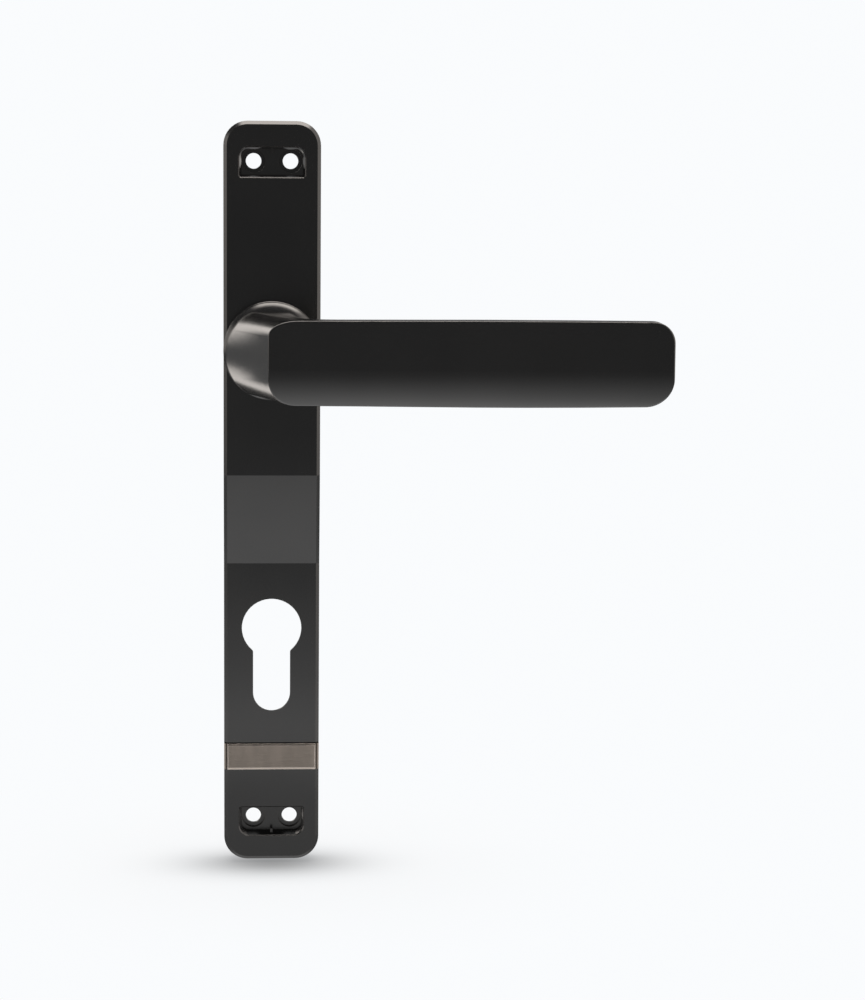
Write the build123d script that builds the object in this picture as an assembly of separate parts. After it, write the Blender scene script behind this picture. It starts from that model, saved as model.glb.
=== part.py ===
from build123d import *
import math
import os

# Lever door handle on a long narrow backplate, with a cut-out for a euro-profile cylinder.
#
# Millimetres. Origin: the spindle axis where it crosses the door face.
# +X runs along the lever towards its tip, +Y goes into the door, +Z is up.
# "Depth" below means distance in front of the door face, so a point at depth d has y = -d.
# "Elevation" outlines are drawn in x and z, as seen by somebody facing the door.

# ---- backplate -------------------------------------------------------------------------------
PLATE_WIDTH = 28.8
PLATE_TOP = 67.3
PLATE_BOTTOM = -157.0
PLATE_CORNER = 7.2
UPPER_DEPTH = 13.5          # thick section that carries the lever bearing
LOWER_DEPTH = 9.0           # thin section around the cylinder cut-out
SLOPE_TOP = -37.8
SLOPE_BOTTOM = -65.1
FACE = 2.4                  # casting wall behind the visible face
WALL = 2.2                  # casting wall at the sides
PLATE_EDGE = 1.0            # bevel of the visible edge

# ---- fixing points ---------------------------------------------------------------------------
FIX_UPPER = 55.5
FIX_CENTRES = 200.0
FIX_LOWER = FIX_UPPER - FIX_CENTRES
FIX_PITCH = 11.0
FIX_HOLE_R = 2.32
FIX_HEAD_R = 3.5            # counterbore for the screw head
FIX_SEAT = 3.4              # depth of the face the screw head seats on
FIX_SEAT_THICKNESS = 1.2
FIX_BACK_R = 3.2
FIX_BOSS_R = 5.6
RECESS_WIDTH = 19.4
RECESS_HEIGHT = 8.7
RECESS_OUTER_TOP = 4.1      # recess edge beyond the hole line, on the side facing the plate's end
RECESS_OUTER_BOTTOM = 4.85
RECESS_DEPTH = 4.5
RECESS_BIG_CORNER = 3.0
RECESS_SMALL_CORNER = 0.6
RECESS_DRAFT = 8.0          # degrees
RECESS_RIM = 0.3            # bevel around the recess
RIM_TAPER = 45.0            # degrees
RECESS_BACKING = 2.0
RECESS_MARGIN = 2.4
CLIP_WIDTH = 0.7
CLIP_LENGTH = 1.5
CLIP_RISE = 2.7

# ---- cylinder cut-out ------------------------------------------------------------------------
LOCK_CENTRES = 85.0
HEAD_R = 9.0
STEM_WIDTH = 11.2
CUTOUT_BOTTOM = -110.6
CUTOUT_BLEND = 1.0
CUTOUT_LIP = 1.0            # plain edge left at the visible face
CUTOUT_RELIEF = 1.2         # the cut-out is this much wider behind the lip

# ---- accent bar ------------------------------------------------------------------------------
BAR_Z = -124.6
BAR_HEIGHT = 8.0
BAR_SHOULDER = 0.35         # proud of the plate's face
BAR_PAD_RISE = 0.85
BAR_PAD_WIDTH = 26.8
BAR_BEVEL = 0.6             # along the pad's face
BAR_BEVEL_DROP = 0.35
BAR_END_BEVEL = 0.25
BAR_SHELL = 1.1
BAR_EDGE = 0.4
BAR_TAIL = 0.8              # depth where the side legs end
BAR_GAP = 0.05
BAR_REVEAL = 0.22           # open line above and below the bar
BAR_GROOVE = 0.4            # width and depth of the line at each end of the pad
BAR_STUD_R = 1.5
BAR_STUD_X = 8.0
BAR_STUD_END = 2.4
BAR_LAND = 4.4              # depth of the back of the land that holds the studs
BAR_LAND_HEIGHT = 11.0
NUT_R = 3.4                 # star washers on the bar's studs
NUT_THICKNESS = 0.5
NUT_TEETH = 6
NUT_SLOT_WIDTH = 0.75
NUT_SLOT_LENGTH = 1.5
NUT_SLOT_ORBIT = 1.95

# ---- bearing and collar ----------------------------------------------------------------------
HUB_R = 12.0
HUB_BORE_R = 9.5
HUB_TOP = 16.2
COLLAR_R = 14.4
COLLAR_TOP = 17.0
COLLAR_EDGE = 0.9
FLANGE_R = 11.7
FLANGE_TOP = 17.3
FIT = 0.05                  # radial or axial clearance of a running or slip fit
SHANK_R = 8.0
SHANK_STEP = 10.9           # depth where the shank drops to its two-flat section
DRIVE_R = 7.5
DRIVE_FLAT = 6.6
SHANK_END = -1.5

# ---- lever -----------------------------------------------------------------------------------
BASE_R = 14.35
BASE_BACK = 17.4
BASE_FRONT = 24.0
BASE_DOME_R = 6.9           # profile radius of the domed rim
BASE_DOME_ANGLE = 50.0      # degrees between the front and the rim's outer end
LEVER_HEIGHT = 24.2         # at the neck and at the tip
LEVER_DROP = 0.5            # the grip's middle lies this far below the spindle axis
BOW_TOP = 0.17              # the long edges bulge slightly between neck and tip
BOW_BOTTOM = 0.33
LEVER_FRONT = 60.0
LEVER_THICKNESS = 11.0
LEVER_TIP = 113.7
TIP_UPPER_CORNER = 6.0
TIP_LOWER_CORNER = 8.1
FRONT_EDGE = 0.5
BACK_EDGE = 5.0
CREASE_X = -1.3             # where the slanted neck meets the front face
CREASE_RUN = 8.5            # how far the crease takes to curve into the long edges
CREASE_UPPER = 4.4
CREASE_LOWER = 7.7
CHEEK_R = 13.9
CHEEK_SPLIT = 30.0          # degrees either side of the neck's leftmost line
NECK_RIGHT_BASE = 8.5
NECK_RIGHT_TOP = 10.5
NECK_INNER_RADIUS = 8.0
CROWN_LINE = -2.0           # height where the front face starts to roll back
CROWN_LOWER_R = 23.8
CROWN_UPPER_R = 250.0

# ---- spindle ---------------------------------------------------------------------------------
SPINDLE_SIDE = 8.0
SPINDLE_BORE = 8.1
SPINDLE_FRONT = 38.0
SPINDLE_BACK = -62.0
SPINDLE_CHAMFER = 0.8
GRUB_R = 2.45
GRUB_DEPTH = 29.0
GRUB_OUTER = 12.5
GRUB_SOCKET = 2.5
GRUB_SOCKET_DEEP = 2.5

# ---- return mechanism behind the face --------------------------------------------------------
DRIVE_FRONT = 10.85
DRIVE_THICKNESS = 2.0
DRIVE_DISC_R = 9.6
LUG_R = 12.0
LUG_HALF_ANGLE = 12.0
TAB_INNER = 11.2
TAB_OUTER = 13.0
TAB_WIDTH = 3.6
TAB_END = 4.0
TURN = 45.0                 # lever travel in degrees
STOP_R = 1.25
STOP_ORBIT = 11.2
STOP_END = 8.9
STOP_PLAY = 0.3             # degrees left between lug and stop
PIN_SEAT = 1.6              # how far pins are pressed into the face
POST_R = 1.8
POST_Z = -16.6
POST_END = 3.4
WIRE_R = 0.7
COIL_R = 10.3
COIL_FRONT = 8.05
COIL_BACK = 4.7
COIL_TURNS = 2
LEG_GAP = 0.05
FIXED_LEG_END = -18.6
MOVING_LEG_END = -13.4

KEEPER_FRONT = 3.2
KEEPER_THICKNESS = 1.2
KEEPER_WIDTH = 22.8
KEEPER_HEIGHT = 50.0
KEEPER_Z = -1.5
KEEPER_CORNER = 4.0
REAR_BUSH_R = 9.0
REAR_BUSH_NOSE = 8.3
REAR_FLANGE_R = 11.0
REAR_FLANGE = 0.7
SCREW_POINTS = [(-8.0, 19.5), (8.0, 19.5), (-8.0, -22.5), (8.0, -22.5)]
SCREW_BOSS_R = 3.0
SCREW_R = 1.25
SCREW_CLEARANCE_R = 1.6
SCREW_HEAD_R = 2.7
SCREW_HEAD = 1.6
SCREW_TIP = 9.5
CROSS_LENGTH = 2.8
CROSS_WIDTH = 0.7
CROSS_DEEP = 0.9

FLAT_WASHER_R = 10.6
FLAT_WASHER = 0.5
FLAT_WASHER_FRONT = 1.95
SPRING_WASHER_R = 10.3
SPRING_WASHER = 0.3
SPRING_WASHER_BACK = 0.6
SPRING_WASHER_SAG = 0.5
RING_GROOVE_R = 7.0
RING_R = 8.9
RING_THICKNESS = 1.0
RING_FRONT = 0.55
RING_LUG_R = 1.7
RING_LUG_ORBIT = 9.0
RING_LUG_ANGLE = 14.0
RING_LUG_TRIM = 0.5         # how much the ring's gap cuts off each lug
RING_EYE_R = 0.8

# ---- stiffening ribs inside the casting --------------------------------------------------------
RIB = 1.4
RIB_X = 6.0
RIB_BACK = 5.0
RIB_SPANS = [(27.0, 50.0), (-70.0, -30.0)]

NEAR = 0.01                 # tolerance when picking edges and corners by their place


# ---- helpers ---------------------------------------------------------------------------------
def prism(outline, back, front):
    """Solid of an elevation outline between two depths in front of the door face."""
    return extrude(Plane.XZ.offset(back) * outline, amount=front - back)


def disc(radius, back, front, x=0.0, z=0.0):
    return prism(Pos(x, z) * Circle(radius), back, front)


def ring(outer, inner, back, front):
    return prism(Circle(outer) - Circle(inner), back, front)


def polar(radius, degrees_from_top):
    """Elevation point at a radius, with the angle counted from straight up towards the lever tip."""
    angle = math.radians(degrees_from_top)
    return radius * math.sin(angle), radius * math.cos(angle)


def rounded_box(left, right, low, high, lower_corner, upper_corner):
    """Rectangle whose lower and upper corners have their own radii."""
    box = Pos((left + right) / 2, (low + high) / 2) * Rectangle(right - left, high - low)
    middle = (low + high) / 2
    box = fillet([v for v in box.vertices() if v.Y > middle], upper_corner)
    return fillet([v for v in box.vertices() if abs(v.Y - low) < NEAR], lower_corner)


def vertical_edges(shape, x, depth):
    return [e for e in shape.edges() if abs(e.center().X - x) < NEAR and abs(e.center().Y + depth) < NEAR]


def two_flat(radius, flat):
    """Round section with two parallel flats, left and right."""
    return Circle(radius) & Rectangle(2 * flat, 4 * radius)


# ---- backplate -------------------------------------------------------------------------------
def side_profile(inset, back, end):
    """Side view of the plate's front surface moved in by inset, closed at a back depth."""
    points = [
        (-back, PLATE_TOP + end),
        (-(UPPER_DEPTH - inset), PLATE_TOP + end),
        (-(UPPER_DEPTH - inset), SLOPE_TOP),
        (-(LOWER_DEPTH - inset), SLOPE_BOTTOM),
        (-(LOWER_DEPTH - inset), PLATE_BOTTOM - end),
        (-back, PLATE_BOTTOM - end),
    ]
    return extrude(Plane.YZ * make_face(Polyline(points, close=True)), amount=PLATE_WIDTH, both=True)


def plate_outline(inset):
    middle = (PLATE_TOP + PLATE_BOTTOM) / 2
    height = PLATE_TOP - PLATE_BOTTOM
    shape = RectangleRounded(PLATE_WIDTH - 2 * inset, height - 2 * inset, PLATE_CORNER - inset)
    return Pos(0, middle) * shape


def plate_blank():
    """Full block of the plate with its visible edge bevelled."""
    blank = prism(plate_outline(0), 0, UPPER_DEPTH + 1) & side_profile(0, -1, 1)
    behind_front = LOWER_DEPTH - NEAR

    def visible_edge(edge):
        box = edge.bounding_box()
        crosses_face = box.size.X > PLATE_WIDTH - NEAR
        return box.max.Y < -behind_front and not crosses_face

    return chamfer([e for e in blank.edges() if visible_edge(e)], PLATE_EDGE)


def recess_edge(hole_z, end):
    """Height of the recess edge that faces the plate's end; end is +1 at the top, -1 at the bottom."""
    return hole_z + RECESS_OUTER_TOP if end > 0 else hole_z - RECESS_OUTER_BOTTOM


def recess_outline(hole_z, end):
    """Pocket for a screw cover."""
    outer = recess_edge(hole_z, end)
    inner = outer - end * RECESS_HEIGHT
    upper_corner = RECESS_BIG_CORNER if end > 0 else RECESS_SMALL_CORNER
    lower_corner = RECESS_SMALL_CORNER if end > 0 else RECESS_BIG_CORNER
    half = RECESS_WIDTH / 2
    return rounded_box(-half, half, min(outer, inner), max(outer, inner), lower_corner, upper_corner)


def recess_backing(hole_z, end, face_depth):
    """Metal kept behind a recess: a cup below its floor and two bosses reaching the door."""
    outer = recess_edge(hole_z, end)
    middle = outer - end * RECESS_HEIGHT / 2
    width = RECESS_WIDTH + 2 * RECESS_MARGIN
    height = RECESS_HEIGHT + 2 * RECESS_MARGIN
    cup_back = face_depth - RECESS_DEPTH - RECESS_BACKING
    backing = prism(Pos(0, middle) * Rectangle(width, height), cup_back, face_depth - PLATE_EDGE)
    for x in (-FIX_PITCH / 2, FIX_PITCH / 2):
        backing += disc(FIX_BOSS_R, 0, face_depth - PLATE_EDGE, x, hole_z)
    return backing


def cut_recess(plate, hole_z, end, face_depth):
    floor = face_depth - RECESS_DEPTH
    sketch = Plane.XZ.offset(face_depth) * recess_outline(hole_z, end)
    plate -= extrude(sketch, amount=-RECESS_DEPTH, taper=RECESS_DRAFT)
    rim = Plane.XZ.offset(face_depth) * offset(recess_outline(hole_z, end), RECESS_RIM)
    plate -= extrude(rim, amount=-RECESS_RIM, taper=RIM_TAPER)
    for x in (-FIX_PITCH / 2, FIX_PITCH / 2):
        plate -= disc(FIX_HEAD_R, FIX_SEAT, face_depth + 1, x, hole_z) & prism(
            recess_outline(hole_z, end), FIX_SEAT, face_depth + 1
        )
        plate -= disc(FIX_HOLE_R, -1, face_depth, x, hole_z)
        plate -= disc(FIX_BACK_R, -1, FIX_SEAT - FIX_SEAT_THICKNESS, x, hole_z)
    outer = recess_edge(hole_z, end)
    clip = Pos(0, outer - end * CLIP_LENGTH / 2) * Rectangle(CLIP_WIDTH, CLIP_LENGTH)
    return plate + prism(clip, floor - RECESS_BACKING / 2, floor + CLIP_RISE)


def euro_outline():
    stem_top = -LOCK_CENTRES
    stem_bottom = CUTOUT_BOTTOM + STEM_WIDTH / 2
    stem = Pos(0, (stem_top + stem_bottom) / 2) * Rectangle(STEM_WIDTH, stem_top - stem_bottom)
    shape = Pos(0, -LOCK_CENTRES) * Circle(HEAD_R) + stem + Pos(0, stem_bottom) * Circle(STEM_WIDTH / 2)
    shoulder = -LOCK_CENTRES - math.sqrt(HEAD_R**2 - (STEM_WIDTH / 2) ** 2)
    corners = [v for v in shape.vertices() if abs(v.Y - shoulder) < NEAR]
    return fillet(corners, CUTOUT_BLEND)


def make_backplate():
    plate = plate_blank()
    cavity = prism(plate_outline(WALL), -1, UPPER_DEPTH) & side_profile(FACE, -1, 1)
    plate -= cavity

    # metal that stands in the cavity
    inside = recess_backing(FIX_UPPER, 1, UPPER_DEPTH)
    inside += recess_backing(FIX_LOWER, -1, LOWER_DEPTH)
    for x, z in SCREW_POINTS:
        inside += disc(SCREW_BOSS_R, KEEPER_FRONT, UPPER_DEPTH - PLATE_EDGE, x, z)
    land = Pos(0, BAR_Z) * Rectangle(PLATE_WIDTH - WALL, BAR_LAND_HEIGHT)
    inside += prism(land, BAR_LAND, LOWER_DEPTH - PLATE_EDGE)
    for x in (-RIB_X, RIB_X):
        for low, high in RIB_SPANS:
            rib = Pos(x, (low + high) / 2) * Rectangle(RIB, high - low)
            inside += prism(rib, RIB_BACK, UPPER_DEPTH)
    plate += inside & prism(plate_outline(WALL / 2), 0, UPPER_DEPTH) & side_profile(FACE / 2, 0, 0)

    # lever hub in front of the face
    plate += disc(HUB_R, UPPER_DEPTH - FACE, HUB_TOP)
    plate -= disc(HUB_BORE_R, 0, HUB_TOP + 1)

    plate = cut_recess(plate, FIX_UPPER, 1, UPPER_DEPTH)
    plate = cut_recess(plate, FIX_LOWER, -1, LOWER_DEPTH)

    # cylinder cut-out, wider behind its lip
    plate -= prism(euro_outline(), -1, LOWER_DEPTH + 1)
    plate -= prism(offset(euro_outline(), CUTOUT_RELIEF), -1, LOWER_DEPTH - CUTOUT_LIP)

    # band that the accent bar wraps around
    band = Pos(0, BAR_Z) * Rectangle(2 * PLATE_WIDTH, BAR_HEIGHT + 2 * BAR_REVEAL)
    core = Pos(0, BAR_Z) * Rectangle(PLATE_WIDTH - 2 * (BAR_SHELL + BAR_GAP), 2 * BAR_HEIGHT)
    bar_seat = LOWER_DEPTH + BAR_SHOULDER - BAR_SHELL - BAR_GAP
    plate -= prism(band, bar_seat, LOWER_DEPTH + 1)
    plate -= prism(band - core, BAR_TAIL - BAR_GAP, LOWER_DEPTH + 1)
    for x in (-BAR_STUD_X, BAR_STUD_X):
        plate -= disc(BAR_STUD_R + BAR_GAP, BAR_LAND - 1, LOWER_DEPTH, x, BAR_Z)

    # seats of the pressed pins and pilot holes of the keeper screws
    inner_face = UPPER_DEPTH - FACE
    plate -= disc(POST_R, inner_face, inner_face + PIN_SEAT, 0, POST_Z)
    for x, z in stop_points():
        plate -= disc(STOP_R, inner_face, inner_face + PIN_SEAT, x, z)
    for x, z in SCREW_POINTS:
        plate -= disc(SCREW_R, KEEPER_FRONT, SCREW_TIP + FIT, x, z)
    return plate


# ---- accent bar ------------------------------------------------------------------------------
def make_accent_bar():
    """Pressed metal band around the plate: a bevelled pad in front, a side leg at each end, two studs."""
    shoulder = LOWER_DEPTH + BAR_SHOULDER
    shell = Pos(0, BAR_Z) * Rectangle(PLATE_WIDTH, BAR_HEIGHT)
    bar = prism(shell, BAR_TAIL, shoulder)
    long_edges = [
        e for e in bar.edges()
        if abs(e.center().Y + shoulder) < NEAR and abs(e.center().X) > PLATE_WIDTH / 2 - NEAR
    ]
    bar = fillet(long_edges, BAR_EDGE)
    hollow = Pos(0, BAR_Z) * Rectangle(PLATE_WIDTH - 2 * BAR_SHELL, BAR_HEIGHT + 1)
    bar -= prism(hollow, BAR_TAIL - 1, shoulder - BAR_SHELL)
    seat, face = shoulder - FIT, shoulder + BAR_PAD_RISE
    low, high = BAR_Z - BAR_HEIGHT / 2, BAR_Z + BAR_HEIGHT / 2
    pad_profile = Polyline(
        (-seat, low),
        (BAR_BEVEL_DROP - face, low),
        (-face, low + BAR_BEVEL),
        (-face, high - BAR_BEVEL),
        (BAR_BEVEL_DROP - face, high),
        (-seat, high),
        close=True,
    )
    pad = extrude(Plane.YZ * make_face(pad_profile), amount=BAR_PAD_WIDTH / 2, both=True)
    end_edges = vertical_edges(pad, -BAR_PAD_WIDTH / 2, face) + vertical_edges(pad, BAR_PAD_WIDTH / 2, face)
    bar += chamfer(end_edges, BAR_END_BEVEL)
    for side in (-1, 1):
        groove = Pos(side * (BAR_PAD_WIDTH + BAR_GROOVE) / 2, BAR_Z) * Rectangle(BAR_GROOVE, 2 * BAR_HEIGHT)
        bar -= prism(groove, shoulder - BAR_GROOVE, shoulder + BAR_PAD_RISE)
    for x in (-BAR_STUD_X, BAR_STUD_X):
        stud = disc(BAR_STUD_R, BAR_STUD_END, shoulder - BAR_SHELL, x, BAR_Z)
        bar += chamfer(stud.edges().sort_by(Axis.Y)[-1], BAR_STUD_R / 4)
    return bar


def make_bar_push_nuts():
    """Two star washers pushed over the bar's studs behind the plate."""
    front = BAR_LAND - FIT
    outline = Circle(NUT_R) - Circle(BAR_STUD_R)
    for i in range(NUT_TEETH):
        slot = Pos(0, NUT_SLOT_ORBIT) * Rectangle(NUT_SLOT_WIDTH, NUT_SLOT_LENGTH)
        outline -= Rot(0, 0, i * 360 / NUT_TEETH) * slot
    return [prism(Pos(x, BAR_Z) * outline, front - NUT_THICKNESS, front) for x in (-BAR_STUD_X, BAR_STUD_X)]


# ---- bearing and collar ----------------------------------------------------------------------
def make_neck_collar():
    collar = ring(COLLAR_R, HUB_R + FIT, UPPER_DEPTH, COLLAR_TOP)
    rim = [e for e in collar.edges() if abs(e.center().Y + COLLAR_TOP) < NEAR and e.radius > HUB_R + 1]
    return chamfer(rim, COLLAR_EDGE)


def make_bearing_bush():
    sleeve = ring(HUB_BORE_R, SHANK_R + FIT, UPPER_DEPTH - FACE, HUB_TOP)
    return sleeve + ring(FLANGE_R, SHANK_R + FIT, HUB_TOP, FLANGE_TOP)


# ---- lever -----------------------------------------------------------------------------------
def dome_start():
    """Depth where the base's straight side ends and its domed rim begins."""
    return BASE_FRONT - BASE_DOME_R * (1 - math.cos(math.radians(BASE_DOME_ANGLE)))


def make_base():
    """Round base of the lever: a straight side and a domed rim around a flat front."""
    centre_r = BASE_R - BASE_DOME_R * math.sin(math.radians(BASE_DOME_ANGLE))
    profile = make_face([
        Line((0, -BASE_BACK), (BASE_R, -BASE_BACK)),
        Line((BASE_R, -BASE_BACK), (BASE_R, -dome_start())),
        CenterArc((centre_r, BASE_DOME_R - BASE_FRONT), BASE_DOME_R, -90, BASE_DOME_ANGLE),
        Line((centre_r, -BASE_FRONT), (0, -BASE_FRONT)),
        Line((0, -BASE_FRONT), (0, -BASE_BACK)),
    ])
    return revolve(profile, Axis.Y)


def crown(height):
    """Depth of the lever's front face at a height: nearly flat above, rolling back below."""
    radius = CROWN_UPPER_R if height >= CROWN_LINE else CROWN_LOWER_R
    return LEVER_FRONT - radius + math.sqrt(radius**2 - (height - CROWN_LINE) ** 2)


def crown_envelope():
    """Everything behind the crowned front face."""
    reach = LEVER_HEIGHT / 2 + 2
    low, high, middle = -reach, reach, CROWN_LINE
    back = BASE_BACK
    face = make_face([
        ThreePointArc((-crown(low), low), (-crown(low / 2), low / 2), (-LEVER_FRONT, middle)),
        ThreePointArc((-LEVER_FRONT, middle), (-crown(high / 2), high / 2), (-crown(high), high)),
        Polyline((-crown(high), high), (-back, high), (-back, low), (-crown(low), low)),
    ])
    return extrude(Plane.YZ * face, amount=LEVER_TIP + 2, both=True)


def neck_cheek(neck_back, top):
    """Slanted left side of the neck, from the round base to the straight crease at the front."""
    half = LEVER_HEIGHT / 2
    span = math.degrees(math.asin(half / CHEEK_R))
    chord_base = -CHEEK_R * math.cos(math.radians(span))
    split = CHEEK_SPLIT
    base = make_face([
        CenterArc((0, 0), CHEEK_R, 180 - span, span - split),
        CenterArc((0, 0), CHEEK_R, 180 - split, 2 * split),
        CenterArc((0, 0), CHEEK_R, 180 + split, span - split),
        Line((chord_base, -half), (chord_base, half)),
    ])
    slant = (CREASE_X + CHEEK_R) / (LEVER_FRONT - neck_back)
    left = CREASE_X + slant * (top - LEVER_FRONT)
    chord_top = left + CREASE_RUN
    upper, lower = half - CREASE_UPPER, -half + CREASE_LOWER
    end = make_face([
        EllipticalCenterArc((chord_top, upper), CREASE_RUN, CREASE_UPPER, start_angle=90, arc_size=90),
        Line((left, upper), (left, lower)),
        EllipticalCenterArc((chord_top, lower), CREASE_RUN, CREASE_LOWER, start_angle=180, arc_size=90),
        Line((chord_top, -half), (chord_top, half)),
    ])
    sections = [Plane.XZ.offset(neck_back) * base, Plane.XZ.offset(top) * end]
    return loft(sections, ruled=True), chord_base, chord_top


def grip_outline(bow_start):
    """Elevation of neck and grip: long edges bowed a little, two rounded corners at the tip."""
    half = LEVER_HEIGHT / 2
    start = -CHEEK_R - 1
    middle = (bow_start + LEVER_TIP) / 2

    def long_edge(side, bow):
        points = [(bow_start, side * half), (middle, side * (half + bow)), (LEVER_TIP, side * half)]
        fall = 4 * bow / (LEVER_TIP - bow_start)
        return Spline(points, tangents=[(1, 0), (1, -side * fall)])

    shape = make_face([
        Line((start, half), (bow_start, half)),
        long_edge(1, BOW_TOP),
        Line((LEVER_TIP, half), (LEVER_TIP, -half)),
        long_edge(-1, BOW_BOTTOM),
        Line((bow_start, -half), (start, -half)),
        Line((start, -half), (start, half)),
    ])
    for end, radius in ((half, TIP_UPPER_CORNER), (-half, TIP_LOWER_CORNER)):
        corner = [v for v in shape.vertices() if abs(v.X - LEVER_TIP) < NEAR and abs(v.Y - end) < NEAR]
        shape = fillet(corner, radius)
    return shape


def make_grip_and_neck():
    top = LEVER_FRONT + 1
    back = LEVER_FRONT - LEVER_THICKNESS
    neck_back = dome_start()
    cheek, chord_base, chord_top = neck_cheek(neck_back, top)
    plan = Polyline(
        (chord_base, -neck_back),
        (NECK_RIGHT_BASE, -neck_back),
        (NECK_RIGHT_TOP, -back),
        (LEVER_TIP, -back),
        (LEVER_TIP, -top),
        (chord_top, -top),
        close=True,
    )
    body = extrude(make_face(plan), amount=LEVER_HEIGHT, both=True)
    body = fillet(vertical_edges(body, NECK_RIGHT_TOP, back), NECK_INNER_RADIUS)
    body = body & prism(grip_outline(chord_top), neck_back - 1, top + 1)
    body = (body + cheek) & crown_envelope()

    def on_front(edge):
        points = [edge.position_at(t) for t in (0, 0.5, 1)]
        if all(abs(p.Z - CROWN_LINE) < NEAR for p in points):
            return False
        return all(abs(-p.Y - crown(p.Z)) < 2 * NEAR for p in points)

    def on_back(edge):
        points = [edge.position_at(t) for t in (0, 0.5, 1)]
        across_neck = all(p.X < LEVER_TIP / 2 for p in points)
        return all(abs(-p.Y - back) < NEAR for p in points) and not across_neck

    body = fillet([e for e in body.edges() if on_front(e)], FRONT_EDGE)
    return fillet([e for e in body.edges() if on_back(e)], BACK_EDGE)


def make_lever_handle():
    lever = make_base() + Pos(0, 0, -LEVER_DROP) * make_grip_and_neck()
    lever += disc(SHANK_R, SHANK_STEP, BASE_BACK)
    lever += prism(two_flat(DRIVE_R, DRIVE_FLAT), SHANK_END, SHANK_STEP)
    groove_front = RING_FRONT + FIT
    groove_back = RING_FRONT - RING_THICKNESS - FIT
    lever -= ring(SHANK_R + 1, RING_GROOVE_R, groove_back, groove_front)
    lever -= prism(Rectangle(SPINDLE_BORE, SPINDLE_BORE), SHANK_END - 1, SPINDLE_FRONT + 1)
    grub_hole = Plane.XY.offset(-BASE_R - 1) * Pos(0, -GRUB_DEPTH) * Circle(GRUB_R + FIT)
    return lever - extrude(grub_hole, amount=BASE_R + 1)


# ---- spindle ---------------------------------------------------------------------------------
def make_spindle():
    bar = prism(Rectangle(SPINDLE_SIDE, SPINDLE_SIDE), SPINDLE_BACK, SPINDLE_FRONT)
    ends = [e for e in bar.edges() if e.length < SPINDLE_SIDE + NEAR]
    return chamfer(ends, SPINDLE_CHAMFER)


def make_spindle_grub_screw():
    tip = SPINDLE_SIDE / 2
    length = GRUB_OUTER - tip
    screw = extrude(Plane.XY.offset(-GRUB_OUTER) * Pos(0, -GRUB_DEPTH) * Circle(GRUB_R), amount=length)
    screw = chamfer(screw.edges().sort_by(Axis.Z)[-1], GRUB_R / 3)
    socket = Pos(0, -GRUB_DEPTH) * RegularPolygon(GRUB_SOCKET / 2, 6, major_radius=False)
    return screw - extrude(Plane.XY.offset(-GRUB_OUTER) * socket, amount=GRUB_SOCKET_DEEP)


# ---- return mechanism ------------------------------------------------------------------------
def stop_points():
    """Centres of the two stop pins: one touched at rest, one at full travel."""
    pin_angle = math.degrees(math.asin(STOP_R / STOP_ORBIT))
    reach = LUG_HALF_ANGLE + pin_angle + STOP_PLAY
    return [polar(STOP_ORBIT, -reach), polar(STOP_ORBIT, TURN + reach)]


def make_drive_plate():
    back = DRIVE_FRONT - DRIVE_THICKNESS
    sector = make_face(Polyline(
        (0, 0), polar(2 * LUG_R, -LUG_HALF_ANGLE), polar(2 * LUG_R, LUG_HALF_ANGLE), close=True
    ))
    arm_length = TAB_OUTER - DRIVE_DISC_R / 2
    arm = Pos(0, -TAB_OUTER + arm_length / 2) * Rectangle(TAB_WIDTH, arm_length)
    outline = Circle(DRIVE_DISC_R) + (Circle(LUG_R) & sector) + arm
    outline -= two_flat(DRIVE_R + FIT / 2, DRIVE_FLAT + FIT / 2)
    plate = prism(outline, back, DRIVE_FRONT)
    tab = Pos(0, -(TAB_INNER + TAB_OUTER) / 2) * Rectangle(TAB_WIDTH, TAB_OUTER - TAB_INNER)
    return plate + prism(tab, TAB_END, DRIVE_FRONT)


def make_stop_pins():
    inner_face = UPPER_DEPTH - FACE
    return [disc(STOP_R, STOP_END, inner_face + PIN_SEAT, x, z) for x, z in stop_points()]


def make_spring_post():
    post = disc(POST_R, POST_END, UPPER_DEPTH - FACE + PIN_SEAT, 0, POST_Z)
    return chamfer(post.edges().sort_by(Axis.Y)[-1], POST_R / 5)


def make_return_spring():
    """Torsion coil: its front leg rests on the post, its rear leg is pushed by the drive plate's tab."""
    leg_x = TAB_WIDTH / 2 + WIRE_R + LEG_GAP
    leg_angle = math.asin(leg_x / COIL_R)
    leg_top = -COIL_R * math.cos(leg_angle)
    turns = COIL_TURNS + 2 * leg_angle / (2 * math.pi)
    travel = COIL_FRONT - COIL_BACK
    start = Plane(
        origin=(0, -COIL_FRONT, 0),
        x_dir=(math.sin(leg_angle), 0, -math.cos(leg_angle)),
        z_dir=(0, 1, 0),
    )
    helix = start.location * Edge.make_helix(travel / turns, travel, COIL_R)
    section = Plane(origin=helix @ 0, z_dir=helix % 0) * Circle(WIRE_R)
    spring = sweep(section, path=helix, is_frenet=True)
    for x, depth, end in ((leg_x, COIL_FRONT, FIXED_LEG_END), (-leg_x, COIL_BACK, MOVING_LEG_END)):
        foot = Plane.XY.offset(end) * Pos(x, -depth) * Circle(WIRE_R)
        spring += Pos(x, -depth, leg_top) * Sphere(WIRE_R)
        spring += extrude(foot, amount=leg_top - end)
    return spring


# ---- keeper plate and its fasteners ----------------------------------------------------------
def make_keeper_plate():
    back = KEEPER_FRONT - KEEPER_THICKNESS
    outline = Pos(0, KEEPER_Z) * RectangleRounded(KEEPER_WIDTH, KEEPER_HEIGHT, KEEPER_CORNER)
    outline -= Circle(REAR_BUSH_R)
    for x, z in SCREW_POINTS:
        outline -= Pos(x, z) * Circle(SCREW_CLEARANCE_R)
    return prism(outline, back, KEEPER_FRONT)


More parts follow.
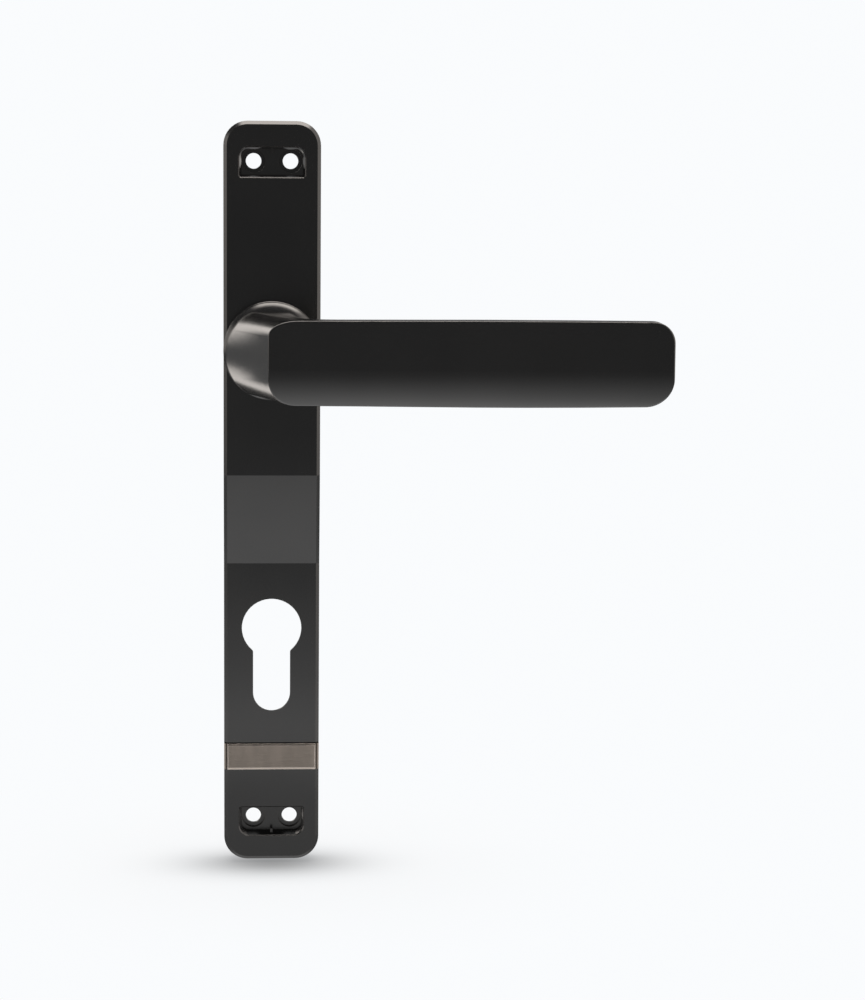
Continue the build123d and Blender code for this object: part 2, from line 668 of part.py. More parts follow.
def make_rear_bush():
    inner = DRIVE_R + FIT
    sleeve = ring(REAR_BUSH_R, inner, KEEPER_FRONT - KEEPER_THICKNESS, REAR_BUSH_NOSE)
    return sleeve + ring(REAR_FLANGE_R, inner, KEEPER_FRONT, KEEPER_FRONT + REAR_FLANGE)


def make_keeper_screws():
    seat = KEEPER_FRONT - KEEPER_THICKNESS
    cross = Rectangle(CROSS_LENGTH, CROSS_WIDTH) + Rectangle(CROSS_WIDTH, CROSS_LENGTH)
    screws = []
    for x, z in SCREW_POINTS:
        head = disc(SCREW_HEAD_R, seat - SCREW_HEAD, seat, x, z)
        head = fillet(head.edges().sort_by(Axis.Y)[-1], SCREW_HEAD / 2)
        head -= prism(Pos(x, z) * cross, seat - SCREW_HEAD, seat - SCREW_HEAD + CROSS_DEEP)
        screws.append(head + disc(SCREW_R, seat, SCREW_TIP, x, z))
    return screws


def make_flat_washer():
    return ring(FLAT_WASHER_R, DRIVE_R + FIT, FLAT_WASHER_FRONT - FLAT_WASHER, FLAT_WASHER_FRONT)


def make_spring_washer():
    """Ring bent to a shallow arc, pressing the flat washer against the keeper plate."""
    reach = SPRING_WASHER_R
    back, thick, sag = SPRING_WASHER_BACK, SPRING_WASHER, SPRING_WASHER_SAG

    def arc(depth):
        return ThreePointArc((-depth - sag, -reach), (-depth, 0), (-depth - sag, reach))

    front_ends = [(-back - thick - sag, reach), (-back - thick - sag, -reach)]
    back_ends = [(-back - sag, reach), (-back - sag, -reach)]
    closing = [Line(a, b) for a, b in zip(back_ends, front_ends)]
    slab = extrude(Plane.YZ * make_face([arc(back), arc(back + thick), *closing]), amount=reach, both=True)
    return slab & ring(SPRING_WASHER_R, DRIVE_R + FIT, -1, 2)


def make_retaining_ring():
    """External retaining ring in the shank's groove, with two eyes beside its gap."""
    outline = Circle(RING_R)
    eyes = [polar(RING_LUG_ORBIT, angle) for angle in (180 - RING_LUG_ANGLE, 180 + RING_LUG_ANGLE)]
    for x, z in eyes:
        outline += Pos(x, z) * Circle(RING_LUG_R)
    outline -= Circle(RING_GROOVE_R)
    lug_x = RING_LUG_ORBIT * math.sin(math.radians(RING_LUG_ANGLE))
    gap = 2 * (lug_x - RING_LUG_R + RING_LUG_TRIM)
    outline -= Pos(0, -RING_LUG_ORBIT) * Rectangle(gap, 4 * RING_LUG_R)
    for x, z in eyes:
        outline -= Pos(x, z) * Circle(RING_EYE_R)
    return prism(outline, RING_FRONT - RING_THICKNESS, RING_FRONT)


NODES = {
    "backplate": make_backplate,
    "accent_bar": make_accent_bar,
    "bar_push_nuts": make_bar_push_nuts,
    "neck_collar": make_neck_collar,
    "bearing_bush": make_bearing_bush,
    "lever_handle": make_lever_handle,
    "spindle": make_spindle,
    "spindle_grub_screw": make_spindle_grub_screw,
    "drive_plate": make_drive_plate,
    "stop_pins": make_stop_pins,
    "spring_post": make_spring_post,
    "return_spring": make_return_spring,
    "keeper_plate": make_keeper_plate,
    "rear_bush": make_rear_bush,
    "keeper_screws": make_keeper_screws,
    "flat_washer": make_flat_washer,
    "spring_washer": make_spring_washer,
    "retaining_ring": make_retaining_ring,
}

os.makedirs("parts", exist_ok=True)
for node, make in NODES.items():
    made = make()
    if isinstance(made, list):
        made = Compound(children=[solid for item in made for solid in item.solids()])
    export_step(made, f"parts/{node}.step")
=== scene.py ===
import math

import bmesh
import bpy
from mathutils import Matrix, Vector


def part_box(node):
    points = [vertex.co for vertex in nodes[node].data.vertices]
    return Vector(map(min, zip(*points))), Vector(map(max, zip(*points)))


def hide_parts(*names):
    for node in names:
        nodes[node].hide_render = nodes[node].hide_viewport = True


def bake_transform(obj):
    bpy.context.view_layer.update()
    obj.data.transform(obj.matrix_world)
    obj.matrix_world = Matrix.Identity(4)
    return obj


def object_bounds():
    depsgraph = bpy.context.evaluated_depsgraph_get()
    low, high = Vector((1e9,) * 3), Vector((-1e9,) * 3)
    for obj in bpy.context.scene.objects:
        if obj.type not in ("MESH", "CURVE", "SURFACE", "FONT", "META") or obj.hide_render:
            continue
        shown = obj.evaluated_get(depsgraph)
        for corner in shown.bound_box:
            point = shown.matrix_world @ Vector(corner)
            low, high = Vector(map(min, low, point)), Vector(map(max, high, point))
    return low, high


# Lever door handle on a long narrow backplate, in metres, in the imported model's own frame.
# +X runs along the lever, +Y into the door, +Z up. The origin is on the spindle's axis at the door.
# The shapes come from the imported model, and only the return spring is built again here.

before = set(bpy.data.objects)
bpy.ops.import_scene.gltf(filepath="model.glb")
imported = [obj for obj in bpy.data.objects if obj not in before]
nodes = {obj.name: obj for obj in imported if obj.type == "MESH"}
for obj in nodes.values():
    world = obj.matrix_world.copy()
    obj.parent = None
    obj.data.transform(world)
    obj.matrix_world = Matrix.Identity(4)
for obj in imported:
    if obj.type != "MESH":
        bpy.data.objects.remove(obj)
cad_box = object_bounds()
foot_height = cad_box[0].z          # the plate's lower end

MM = 0.001

# ---- camera ----------------------------------------------------------------------------------
CAMERA_PLACE = (-0.0047, -0.8019, 0.0605)
CAMERA_YAW = 3.842                  # degrees towards the lever's tip
CAMERA_PITCH = 7.617                # degrees below the horizon
CAMERA_ROLL = 0.533                 # degrees
CAMERA_LENS = 95.39                 # millimetres, as is the sensor
CAMERA_SENSOR = 36                  # along the picture's long side
CAMERA_CLIP = (0.02, 20)

# ---- finishes --------------------------------------------------------------------------------
# Colours are red, green and blue. A pattern is its features per metre, as one number or along X, Y
# and Z, with its number of finer layers. A bump is its height and its strength.
NOISE_RANGE = (0.3, 0.7)            # where nearly all of a noise lies
EDGE_REACH = 0.5 * MM               # width of the wear along an edge
PROBE_SAMPLES = 6                   # rays that look for edges and gaps

COAT_DARK = (0.113, 0.1125, 0.112)
COAT_LIGHT = (0.124, 0.1225, 0.1215)
COAT_WORN = (0.18, 0.165, 0.15)
COAT_WEAR_RANGE = (0.02, 0.25)      # sharpness of an edge at which wear starts and is full
COAT_WEAR = 0.5                     # share of the worn colour at most
COAT_ROUGHNESS = (0.205, 0.235)
COAT_ROUGHNESS_GRAIN = 0.015
COAT_CLOUDS = (38, 2)
COAT_GRAIN = (2600, 2)
COAT_BUMP = (0.003 * MM, 0.5)

NICKEL_DARK = (0.40, 0.345, 0.298)
NICKEL_LIGHT = (0.49, 0.42, 0.365)
NICKEL_WORN = (0.80, 0.74, 0.69)
# colour of the painted shade and dirt in the bar's narrow gaps
NICKEL_GAP_SHADE_AND_DIRT = (0.04, 0.034, 0.03)
NICKEL_WEAR_RANGE = (0.005, 0.04)
NICKEL_WEAR_ROUGHNESS = 0.30
NICKEL_PAD_DEPTH = (0.8 * MM, 0.6 * MM)     # behind the bar's front: where wear ends and is full
NICKEL_GAP_REACH = 0.5 * MM
NICKEL_GAP_RANGE = (0.50, 0.90)     # openness at which a gap gets its full painted shade and dirt, and at which it has none
NICKEL_ROUGHNESS = (0.27, 0.42)
NICKEL_ROUGHNESS_PATCH = 0.03
NICKEL_STREAKS = ((110, 700, 9000), 4)
NICKEL_PATCHES = ((260, 90, 90), 2)
NICKEL_PATCH_RANGE = (0.35, 0.65)
NICKEL_BUMP = (0.012 * MM, 0.6)

STEELS = {                          # dark colour, light colour, roughness
    "zinc_steel": ((0.42, 0.44, 0.47), (0.56, 0.57, 0.58), 0.36),
    "bright_steel": ((0.55, 0.54, 0.53), (0.68, 0.67, 0.65), 0.24),
    "spring_steel": ((0.20, 0.19, 0.19), (0.30, 0.29, 0.28), 0.30),
    "black_oxide": ((0.045, 0.045, 0.05), (0.08, 0.08, 0.085), 0.36),
}
STEEL_SPANGLE = 420                 # features per metre
STEEL_SPANGLE_SHARE = 0.4
STEEL_CLOUDS = (90, 4)
STEEL_COLOUR_RANGE = (0.4, 0.9)
STEEL_MARKS = ((1800, 160, 1800), 3)
STEEL_ROUGHNESS_CLOUD = (-0.06, 0.08)
STEEL_ROUGHNESS_MARK = 0.04
STEEL_BUMP = (0.01 * MM, 0.4)

NYLON_DARK = (0.68, 0.655, 0.585)
NYLON_LIGHT = (0.78, 0.765, 0.71)
NYLON_ROUGHNESS = (0.42, 0.55)
NYLON_CLOUDS = (160, 3)
NYLON_GRAIN = (1900, 2)
NYLON_BUMP = (0.01 * MM, 0.5)
NYLON_GLOW = 0.15                   # share of the light that goes through the skin, and how far
NYLON_GLOW_RADIUS = (0.004, 0.003, 0.002)
NYLON_GLOW_SCALE = 0.3

PAINTED_NODES = {
    "black_coat": ("backplate", "neck_collar", "lever_handle"),
    "brushed_nickel": ("accent_bar",),
    "nylon": ("bearing_bush", "rear_bush"),
    "zinc_steel": ("spindle", "drive_plate", "keeper_plate", "keeper_screws"),
    "bright_steel": ("stop_pins", "spring_post", "flat_washer"),
    "spring_steel": ("bar_push_nuts", "return_spring", "spring_washer", "retaining_ring"),
    "black_oxide": ("spindle_grub_screw",),
}

# ---- return spring ---------------------------------------------------------------------------
SPRING_WIRE_R = 0.7 * MM
SPRING_LEG_X = 2.55 * MM            # the legs' distance to either side of the middle
SPRING_FRONT_LIFT = 0.1 * MM        # the front leg's end above the lowest point of the spring's node
SPRING_REAR_END = -13.3 * MM        # height of the rear leg's end
SPRING_TURNS = 2
SPRING_BEND = 0.9 * MM              # wire that a bend takes to either side of its corner
SPRING_BEND_STEPS = 8
SPRING_COIL_STEPS = 150
SPRING_SIDES = 16
SPRING_END_INSET = 0.3              # softened wire ends, as parts of the wire's radius
SPRING_END_BULGE = 0.25

# ---- floor and backdrop ----------------------------------------------------------------------
BACKDROP = (0.955, 0.970, 0.985)
FLOOR_ALBEDO = 0.86
FLOOR_TINT = (0.975, 0.985, 1.0)
FLOOR_MOTTLE = (60, 3)
FLOOR_RADIUS = 4.0
FLOOR_SIDES = 96
FLOOR_GAP = 0.001                   # between the plate's lower end and the floor
SHADE_X = 0.0236                    # reach of the soft shadow to the sides and to front and back
SHADE_Y = 0.0136
SHADE_AT = -0.009                   # its middle, under the front of the plate's foot
SHADE_DEPTH = 0.656
FLOOR_SHARE = 0.15                  # the lit floor's share in the picture up to the near distance,
FLOOR_SHARE_REACH = (0.03, 0.12)    # none from the far one

# ---- what the metal mirrors ------------------------------------------------------------------
# Brightness by direction from the object, and for the floor by distance from below the origin.
# Front is the door's outer side, towards -Y.
FRONT_ROOM = 0.125                  # in front, level with the object and above it
BACK_ROOM = 0.20
BACK_ROOM_RANGE = (-0.1, 0.5)       # the direction's +Y part, over which front turns into back
FLOOR_DISTANT = 0.092               # the floor far away,
FLOOR_SPREAD = 0.047                # what is added to it at a distance of one metre,
FLOOR_FALLOFF = 1.6                 # the power of distance with which that falls,
FLOOR_CLOSE = 0.85                  # and the most the floor comes to
FOOT_SHADE = 0.335                  # in the shade of the object
FOOT_SHADE_REACH = (0.09, 0.23)     # where that shade starts to fade and where it ends
FOOT_GLOW = 0.90                    # added near straight down, and the direction's -Z part there
FOOT_GLOW_RANGE = (0.75, 0.95)
WARM = (1.0, 0.93, 0.87)

ROOM_LIGHTS = {                     # brightness; along each axis, where it starts and where it is full
    "overhead": (4.2, [
        ("up", 0.74, 0.88),
        ("left", 0.46, 0.22),
        ("back", -0.28, -0.06),
        ("back", 0.40, 0.20),
    ]),
    "behind_upper_left": (1.65, [("up", -0.03, 0.24), ("left", 0.12, 0.28), ("back", 0.2, 0.5)]),
    "behind_lower_left": (1.4, [("down", 0.17, 0.27), ("left", 0.15, 0.35), ("back", 0.3, 0.6)]),
    "behind_right": (0.8, [("right", 0.12, 0.45), ("back", 0.15, 0.45), ("up", -0.25, 0.05)]),
    "side_left": (0.9, [("left", 0.82, 0.95), ("down", 0.16, 0.0)]),
    "side_right": (0.8, [("right", 0.50, 0.75), ("down", 0.25, 0.05)]),
}

# ---- softbox ---------------------------------------------------------------------------------
SOFTBOX_HEIGHT = 0.90               # above the plate's foot
SOFTBOX_BACK = 0.05                 # behind the origin
SOFTBOX_WIDTH = 0.90
SOFTBOX_DEPTH = 0.80
SOFTBOX_RADIANCE = 5.0
SOFTBOX_COLOUR = (1.0, 0.965, 0.935)


# ---- shader nodes ----------------------------------------------------------------------------
class Shader:
    """The node tree of a material or a world, with short calls that add nodes and join them."""

    def __init__(self, owner):
        owner.use_nodes = True
        self.owner = owner
        self.tree = owner.node_tree
        self.tree.nodes.clear()
        self.output = self.node("OutputWorld" if isinstance(owner, bpy.types.World) else "OutputMaterial")

    def put(self, value, socket):
        """Joins an output to a socket, or sets the socket's value."""
        if isinstance(value, bpy.types.NodeSocket):
            self.tree.links.new(value, socket)
        elif hasattr(value, "__len__") and len(socket.default_value) == len(value) + 1:
            socket.default_value = [*value, 1.0]
        else:
            socket.default_value = value

    def node(self, kind, *values, settings=None, **inputs):
        """Adds a node. The values fill its sockets in order, the named inputs by name."""
        made = self.tree.nodes.new("ShaderNode" + kind)
        for key, value in (settings or {}).items():
            setattr(made, key, value)
        for value, socket in zip(values, made.inputs):
            self.put(value, socket)
        for key, value in inputs.items():
            self.put(value, made.inputs[key.replace("_", " ")])
        return made

    def math(self, operation, a, b=0.0):
        return self.node("Math", a, b, settings={"operation": operation}).outputs[0]

    def vector_math(self, operation, *values, **inputs):
        return self.node("VectorMath", *values, settings={"operation": operation}, **inputs).outputs

    def vector(self, operation, a, b):
        return self.vector_math(operation, a, b)["Vector"]

    def scaled(self, vector, factor):
        return self.vector_math("SCALE", vector, Scale=factor)["Vector"]

    def length(self, vector):
        return self.vector_math("LENGTH", vector)["Value"]

    def ramp(self, value, limits, start=0.0, end=1.0, smooth=False):
        """A value between two limits taken to start..end, and held there beyond them."""
        settings = {"interpolation_type": "SMOOTHSTEP" if smooth else "LINEAR"}
        return self.node("MapRange", value, *limits, start, end, settings=settings).outputs[0]

    def mix(self, factor, a, b):
        """Colour that goes from a to b."""
        made = self.node("Mix", factor, settings={"data_type": "RGBA"})
        first, second = [socket for socket in made.inputs if socket.type == "RGBA"]
        self.put(a, first)
        self.put(b, second)
        return [socket for socket in made.outputs if socket.type == "RGBA"][0]

    def mix_shader(self, factor, a, b):
        return self.node("MixShader", factor, a, b).outputs[0]

    def colour(self, value):
        made = self.node("RGB")
        self.put(value, made.outputs[0])
        return made.outputs[0]

    def grey(self, value):
        return self.node("CombineColor", Red=value, Green=value, Blue=value).outputs[0]

    def place(self):
        """Position on the piece, in metres, which stays with the piece when it moves."""
        return self.node("TexCoord").outputs["Object"]

    def noise(self, per_metre, layers):
        """Cloudy pattern, with its features per metre as one number or as one for each axis."""
        place, scale = self.place(), per_metre
        if isinstance(per_metre, tuple):
            place, scale = self.vector("MULTIPLY", place, per_metre), 1.0
        return self.node("TexNoise", Vector=place, Scale=scale, Detail=layers).outputs["Fac"]

    def cells(self, per_metre):
        return self.node("TexVoronoi", Vector=self.place(), Scale=per_metre).outputs["Distance"]

    def bump(self, height, distance, strength):
        return self.node("Bump", Height=height, Distance=distance, Strength=strength).outputs["Normal"]

    def edges(self, radius):
        """About 1 along sharp edges and 0 on plain faces."""
        soft = self.node("Bevel", settings={"samples": PROBE_SAMPLES}, Radius=radius).outputs["Normal"]
        plain = self.node("NewGeometry").outputs["Normal"]
        return self.math("SUBTRACT", 1.0, self.vector_math("DOT_PRODUCT", soft, plain)["Value"])

    def openness(self, reach):
        """About 1 on open faces and less in narrow gaps and inner corners."""
        made = self.node("AmbientOcclusion", settings={"samples": PROBE_SAMPLES}, Distance=reach)
        return made.outputs["AO"]

    def show(self, shader):
        self.put(shader, self.output.inputs["Surface"])
        return self.owner

    def principled(self, **inputs):
        """Shows one principled surface with these inputs."""
        return self.show(self.node("BsdfPrincipled", **inputs).outputs[0])


# ---- materials -------------------------------------------------------------------------------
def new_material(name):
    return Shader(bpy.data.materials.new(name))


def satin_black(name):
    """Satin black metallic coat, a little lighter and browner where edges have worn."""
    s = new_material(name)
    cloud = s.noise(*COAT_CLOUDS)
    grain = s.noise(*COAT_GRAIN)
    wear = s.ramp(s.edges(EDGE_REACH), COAT_WEAR_RANGE, 0.0, COAT_WEAR)
    colour = s.mix(s.ramp(cloud, NOISE_RANGE), COAT_DARK, COAT_LIGHT)
    colour = s.mix(wear, colour, COAT_WORN)
    fine = s.ramp(grain, NOISE_RANGE, -COAT_ROUGHNESS_GRAIN, COAT_ROUGHNESS_GRAIN)
    roughness = s.math("ADD", s.ramp(cloud, NOISE_RANGE, *COAT_ROUGHNESS), fine)
    normal = s.bump(grain, *COAT_BUMP)
    return s.principled(Base_Color=colour, Metallic=1.0, Roughness=roughness, Normal=normal)


def brushed_nickel(name):
    """Warm nickel brushed along the bar, worn bright on the raised pad's edges and darkened in its gaps by
    painted shade and dirt.
    """
    s = new_material(name)
    streaks = s.noise(*NICKEL_STREAKS)
    patches = s.noise(*NICKEL_PATCHES)
    colour = s.mix(s.ramp(patches, NICKEL_PATCH_RANGE), NICKEL_DARK, NICKEL_LIGHT)
    uneven = s.ramp(patches, NOISE_RANGE, -NICKEL_ROUGHNESS_PATCH, NICKEL_ROUGHNESS_PATCH)
    roughness = s.math("ADD", s.ramp(streaks, NOISE_RANGE, *NICKEL_ROUGHNESS), uneven)

    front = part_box("accent_bar")[0].y
    depth = s.node("SeparateXYZ", Vector=s.place()).outputs["Y"]
    raised = s.ramp(depth, [front + behind for behind in NICKEL_PAD_DEPTH])
    wear = s.math("MULTIPLY", s.ramp(s.edges(EDGE_REACH), NICKEL_WEAR_RANGE), raised)
    colour = s.mix(wear, colour, NICKEL_WORN)
    roughness = s.math("ADD", roughness, s.math("MULTIPLY", wear, NICKEL_WEAR_ROUGHNESS))
    # painted shade and dirt: darker where gaps and inner corners close in on the surface
    unshaded_and_clean = s.ramp(s.openness(NICKEL_GAP_REACH), NICKEL_GAP_RANGE)
    colour = s.mix(unshaded_and_clean, NICKEL_GAP_SHADE_AND_DIRT, colour)
    normal = s.bump(streaks, *NICKEL_BUMP)
    return s.principled(Base_Color=colour, Metallic=1.0, Roughness=roughness, Normal=normal)


def plated_steel(name, dark, light, rough):
    """Plated or blackened steel with a faint spangle and handling marks."""
    s = new_material(name)
    cloud = s.noise(*STEEL_CLOUDS)
    marks = s.noise(*STEEL_MARKS)
    pattern = s.math("ADD", cloud, s.math("MULTIPLY", s.cells(STEEL_SPANGLE), STEEL_SPANGLE_SHARE))
    colour = s.mix(s.ramp(pattern, STEEL_COLOUR_RANGE), dark, light)
    coarse = s.ramp(cloud, NOISE_RANGE, *[rough + change for change in STEEL_ROUGHNESS_CLOUD])
    fine = s.ramp(marks, NOISE_RANGE, -STEEL_ROUGHNESS_MARK, STEEL_ROUGHNESS_MARK)
    normal = s.bump(marks, *STEEL_BUMP)
    return s.principled(
        Base_Color=colour, Metallic=1.0, Roughness=s.math("ADD", coarse, fine), Normal=normal
    )


def natural_nylon(name):
    """Moulded nylon without a dye."""
    s = new_material(name)
    grain = s.noise(*NYLON_GRAIN)
    return s.principled(
        Base_Color=s.mix(s.ramp(s.noise(*NYLON_CLOUDS), NOISE_RANGE), NYLON_DARK, NYLON_LIGHT),
        Roughness=s.ramp(grain, NOISE_RANGE, *NYLON_ROUGHNESS),
        Normal=s.bump(grain, *NYLON_BUMP),
        Subsurface_Weight=NYLON_GLOW,
        Subsurface_Radius=NYLON_GLOW_RADIUS,
        Subsurface_Scale=NYLON_GLOW_SCALE,
    )


MATERIALS = {
    "black_coat": satin_black("black_coat"),
    "brushed_nickel": brushed_nickel("brushed_nickel"),
    "nylon": natural_nylon("nylon"),
    **{name: plated_steel(name, *finish) for name, finish in STEELS.items()},
}


def paint_cad_nodes():
    for finish, names in PAINTED_NODES.items():
        for name in names:
            mesh = nodes[name].data
            mesh.materials.clear()
            mesh.materials.append(MATERIALS[finish])


# ---- return spring ---------------------------------------------------------------------------
def bend_corner(before, corner, after):
    """Points of a wire bent smoothly from one run into the next."""
    points = []
    for step in range(SPRING_BEND_STEPS + 1):
        t = step / SPRING_BEND_STEPS
        points.append(before * (1 - t) ** 2 + corner * 2 * t * (1 - t) + after * t**2)
    return points


def spring_path():
    """Centre line of the wire: up the front leg, round the coil, down the rear leg."""
    low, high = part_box("return_spring")
    front, back = low.y + SPRING_WIRE_R, high.y - SPRING_WIRE_R
    coil_r = (high.x - low.x) / 2 - SPRING_WIRE_R
    leg_angle = math.asin(SPRING_LEG_X / coil_r)
    leg_top = -coil_r * math.cos(leg_angle)
    sweep = 2 * math.pi * SPRING_TURNS + 2 * leg_angle
    trim = SPRING_BEND / coil_r

    def on_coil(turned):
        angle = leg_angle - turned
        depth = front + (back - front) * turned / sweep
        return Vector((coil_r * math.sin(angle), depth, -coil_r * math.cos(angle)))

    down = Vector((0, 0, -SPRING_BEND))
    first, last = on_coil(0), on_coil(sweep)
    front_leg = (low.z + SPRING_FRONT_LIFT, (low.z + leg_top) / 2)
    points = [Vector((SPRING_LEG_X, front, height)) for height in front_leg]
    points += bend_corner(first + down, first, on_coil(trim))
    for step in range(1, SPRING_COIL_STEPS):
        points.append(on_coil(trim + (sweep - 2 * trim) * step / SPRING_COIL_STEPS))
    points += bend_corner(on_coil(sweep - trim), last, last + down)
    return points + [Vector((-SPRING_LEG_X, back, SPRING_REAR_END))]


def wire_rings(mesh, path):
    """A ring of vertices round each point of the path, without twist from one to the next."""
    rings = []
    side = Vector((0, 1, 0))
    for index, point in enumerate(path):
        ahead = path[min(index + 1, len(path) - 1)] - path[max(index - 1, 0)]
        ahead.normalize()
        side = (side - ahead * side.dot(ahead)).normalized()
        across = ahead.cross(side)
        ring = []
        for corner in range(SPRING_SIDES):
            angle = 2 * math.pi * corner / SPRING_SIDES
            offset = side * math.cos(angle) + across * math.sin(angle)
            ring.append(mesh.verts.new(point + offset * SPRING_WIRE_R))
        rings.append(ring)
    return rings


def close_end(mesh, ring, outward):
    """Closes an end of the wire with a face that is smaller and stands out a little."""
    cap = mesh.faces.new(ring)
    bmesh.ops.inset_individual(mesh, faces=[cap], thickness=SPRING_WIRE_R * SPRING_END_INSET)
    step = outward.normalized() * SPRING_WIRE_R * SPRING_END_BULGE
    bmesh.ops.translate(mesh, verts=cap.verts, vec=step)


def spring_mesh():
    path = spring_path()
    mesh = bmesh.new()
    rings = wire_rings(mesh, path)
    for one, two in zip(rings, rings[1:]):
        for corner in range(SPRING_SIDES):
            after = (corner + 1) % SPRING_SIDES
            mesh.faces.new((one[corner], one[after], two[after], two[corner]))
    close_end(mesh, rings[0], path[0] - path[1])
    close_end(mesh, rings[-1], path[-1] - path[-2])
    bmesh.ops.recalc_face_normals(mesh, faces=mesh.faces)
    data = bpy.data.meshes.new("coiled_spring")
    mesh.to_mesh(data)
    mesh.free()
    for face in data.polygons:
        face.use_smooth = True
    return data


def make_spring():
    """Wire of the return spring, built in place of the imported spring, which is hidden."""
    spring = bpy.data.objects.new("coiled_spring", spring_mesh())
    bpy.context.scene.collection.objects.link(spring)
    spring.data.materials.append(MATERIALS["spring_steel"])
    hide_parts("return_spring")
    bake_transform(spring)


# ---- stage -----------------------------------------------------------------------------------
def mirrored_room(s, direction, front):
    """What the metal sees in a direction: a dim room with warm lights around and above.
    front is the brightness on the door's outer side."""
    parts = s.node("SeparateXYZ", Vector=direction).outputs
    axes = {
        "right": parts["X"],
        "left": s.math("MULTIPLY", parts["X"], -1.0),
        "back": parts["Y"],
        "up": parts["Z"],
        "down": s.math("MULTIPLY", parts["Z"], -1.0),
    }
    below = s.ramp(axes["down"], FOOT_GLOW_RANGE, 0.0, FOOT_GLOW)
    front = s.vector("ADD", front, s.grey(below))
    room = s.mix(s.ramp(axes["back"], BACK_ROOM_RANGE, smooth=True), front, (BACK_ROOM,) * 3)
    glow = 0.0
    for brightness, limits in ROOM_LIGHTS.values():
        light = brightness
        for axis, start, full in limits:
            light = s.math("MULTIPLY", s.ramp(axes[axis], (start, full), smooth=True), light)
        glow = s.math("ADD", light, glow)
    return s.vector("ADD", room, s.scaled(s.colour(WARM), glow))


def painted_floor(s, flat):
    """The floor in the backdrop's colour, with a painted soft shadow under the plate's foot."""
    parts = s.node("SeparateXYZ", Vector=flat).outputs
    # painted shadow: a soft oval of shade drawn into the floor's colour, the same in every pose
    across = s.math("POWER", s.math("DIVIDE", parts["X"], SHADE_X), 2.0)
    along = s.math("POWER", s.math("DIVIDE", s.math("SUBTRACT", parts["Y"], SHADE_AT), SHADE_Y), 2.0)
    contact = s.math("EXPONENT", s.math("MULTIPLY", s.math("ADD", across, along), -1.0))
    shade = s.math("SUBTRACT", 1.0, s.math("MULTIPLY", contact, SHADE_DEPTH))
    return s.node("Emission", Color=s.mix(shade, (0, 0, 0), BACKDROP)).outputs[0]


def lit_floor(s):
    mottle = s.ramp(s.noise(*FLOOR_MOTTLE), NOISE_RANGE)
    tint = s.mix(mottle, [FLOOR_ALBEDO * part for part in FLOOR_TINT], (FLOOR_ALBEDO,) * 3)
    return s.node("BsdfDiffuse", Color=tint).outputs[0]


def mirrored_floor(s, distance):
    """The floor as the metal sees it: brighter near the object, but not in its shade."""
    falloff = s.math("POWER", distance, -FLOOR_FALLOFF)
    bright = s.math("ADD", s.math("MULTIPLY", falloff, FLOOR_SPREAD), FLOOR_DISTANT)
    bright = s.math("MINIMUM", bright, FLOOR_CLOSE)
    outside = s.ramp(distance, FOOT_SHADE_REACH, smooth=True)
    front = s.mix(outside, (FOOT_SHADE,) * 3, s.grey(bright))
    direction = s.scaled(s.node("NewGeometry").outputs["Incoming"], -1.0)
    return s.node("Emission", Color=mirrored_room(s, direction, front)).outputs[0]


def floor_material():
    """Pale floor. For the camera it fades into the backdrop, and for the metal it is part of the room."""
    s = new_material("pale_floor")
    path = s.node("LightPath").outputs
    flat = s.vector("MULTIPLY", s.place(), (1, 1, 0))
    distance = s.length(flat)
    own = s.ramp(distance, FLOOR_SHARE_REACH, FLOOR_SHARE, 0.0, smooth=True)
    painted = s.math("MULTIPLY", s.math("SUBTRACT", 1.0, own), path["Is Camera Ray"])
    seen = s.mix_shader(painted, lit_floor(s), painted_floor(s, flat))
    material = s.show(s.mix_shader(path["Is Glossy Ray"], seen, mirrored_floor(s, distance)))
    material.cycles.emission_sampling = "NONE"
    return material


def make_floor():
    bpy.ops.mesh.primitive_circle_add(
        vertices=FLOOR_SIDES, radius=FLOOR_RADIUS, fill_type="NGON", location=(0, 0, foot_height - FLOOR_GAP)
    )
    floor = bpy.context.object
    floor.name = "floor"
    floor.data.materials.append(floor_material())


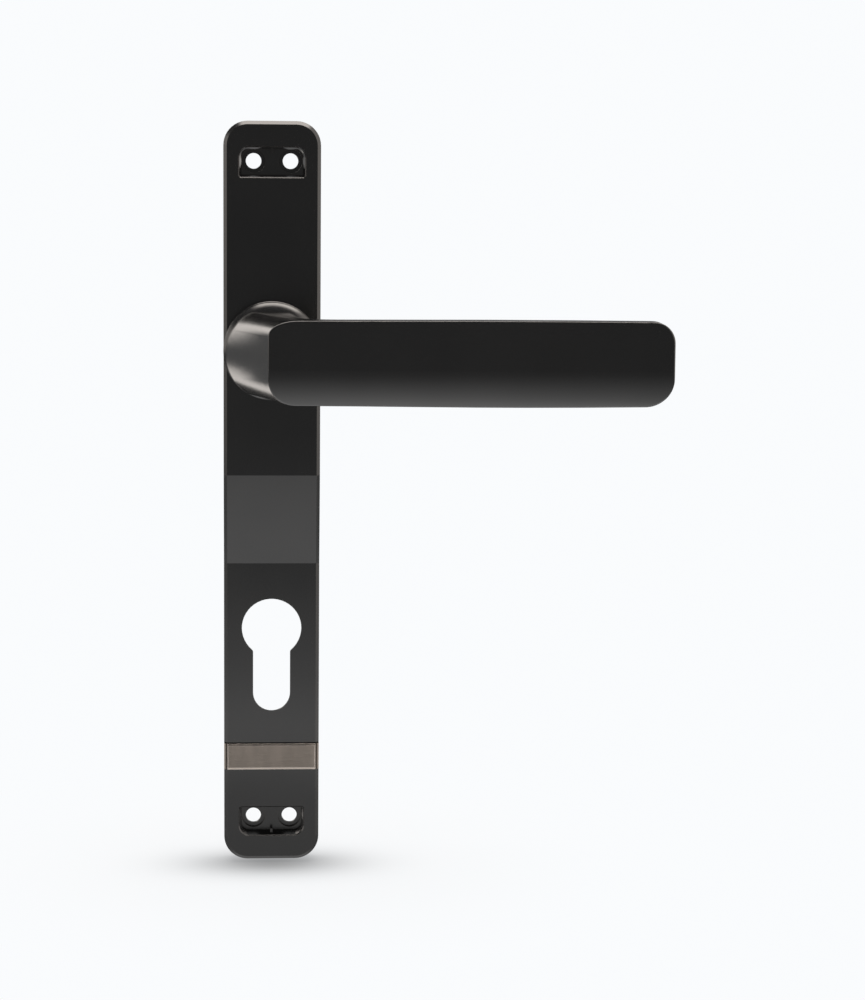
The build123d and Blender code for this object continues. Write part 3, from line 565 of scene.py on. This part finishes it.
def make_world():
    """Pale backdrop for the camera, the lit room for the metal."""
    world = bpy.data.worlds.new("studio")
    bpy.context.scene.world = world
    s = Shader(world)
    path = s.node("LightPath").outputs
    direction = s.node("TexCoord").outputs["Generated"]
    room = (FRONT_ROOM,) * 3
    seen = s.node("Background", Color=BACKDROP).outputs[0]
    plain = s.node("Background", Color=room).outputs[0]
    shiny = s.node("Background", Color=mirrored_room(s, direction, room)).outputs[0]
    unseen = s.mix_shader(path["Is Glossy Ray"], plain, shiny)
    s.show(s.mix_shader(path["Is Camera Ray"], unseen, seen))
    world.cycles.sampling_method = "NONE"


def make_softbox():
    """Rectangular light overhead, which lights only the matt surfaces and isn't seen itself."""
    data = bpy.data.lights.new("overhead", "AREA")
    data.shape = "RECTANGLE"
    data.size = SOFTBOX_WIDTH
    data.size_y = SOFTBOX_DEPTH
    data.energy = SOFTBOX_RADIANCE * math.pi * SOFTBOX_WIDTH * SOFTBOX_DEPTH
    data.color = SOFTBOX_COLOUR
    light = bpy.data.objects.new("overhead", data)
    bpy.context.scene.collection.objects.link(light)
    light.location = (0, SOFTBOX_BACK, foot_height + SOFTBOX_HEIGHT)
    light.rotation_euler = Vector((0, 0, -1)).to_track_quat("-Z", "Y").to_euler()
    light.visible_camera = False
    light.visible_glossy = False


def make_camera():
    yaw, pitch, roll = (math.radians(angle) for angle in (CAMERA_YAW, CAMERA_PITCH, CAMERA_ROLL))
    forward = Vector((
        math.sin(yaw) * math.cos(pitch),
        math.cos(yaw) * math.cos(pitch),
        -math.sin(pitch),
    ))
    level = Vector((math.cos(yaw), -math.sin(yaw), 0))
    upright = level.cross(forward)
    right = level * math.cos(roll) + upright * math.sin(roll)
    up = upright * math.cos(roll) - level * math.sin(roll)
    turn = Matrix((right, up, -forward)).transposed().to_4x4()
    data = bpy.data.cameras.new("camera")
    data.lens = CAMERA_LENS
    data.sensor_width = CAMERA_SENSOR
    data.clip_start, data.clip_end = CAMERA_CLIP
    camera = bpy.data.objects.new("camera", data)
    camera.matrix_world = Matrix.Translation(CAMERA_PLACE) @ turn
    bpy.context.scene.collection.objects.link(camera)
    bpy.context.scene.camera = camera


paint_cad_nodes()
make_spring()
make_floor()
make_world()
make_softbox()
make_camera()
bpy.context.scene.view_settings.view_transform = "Standard"
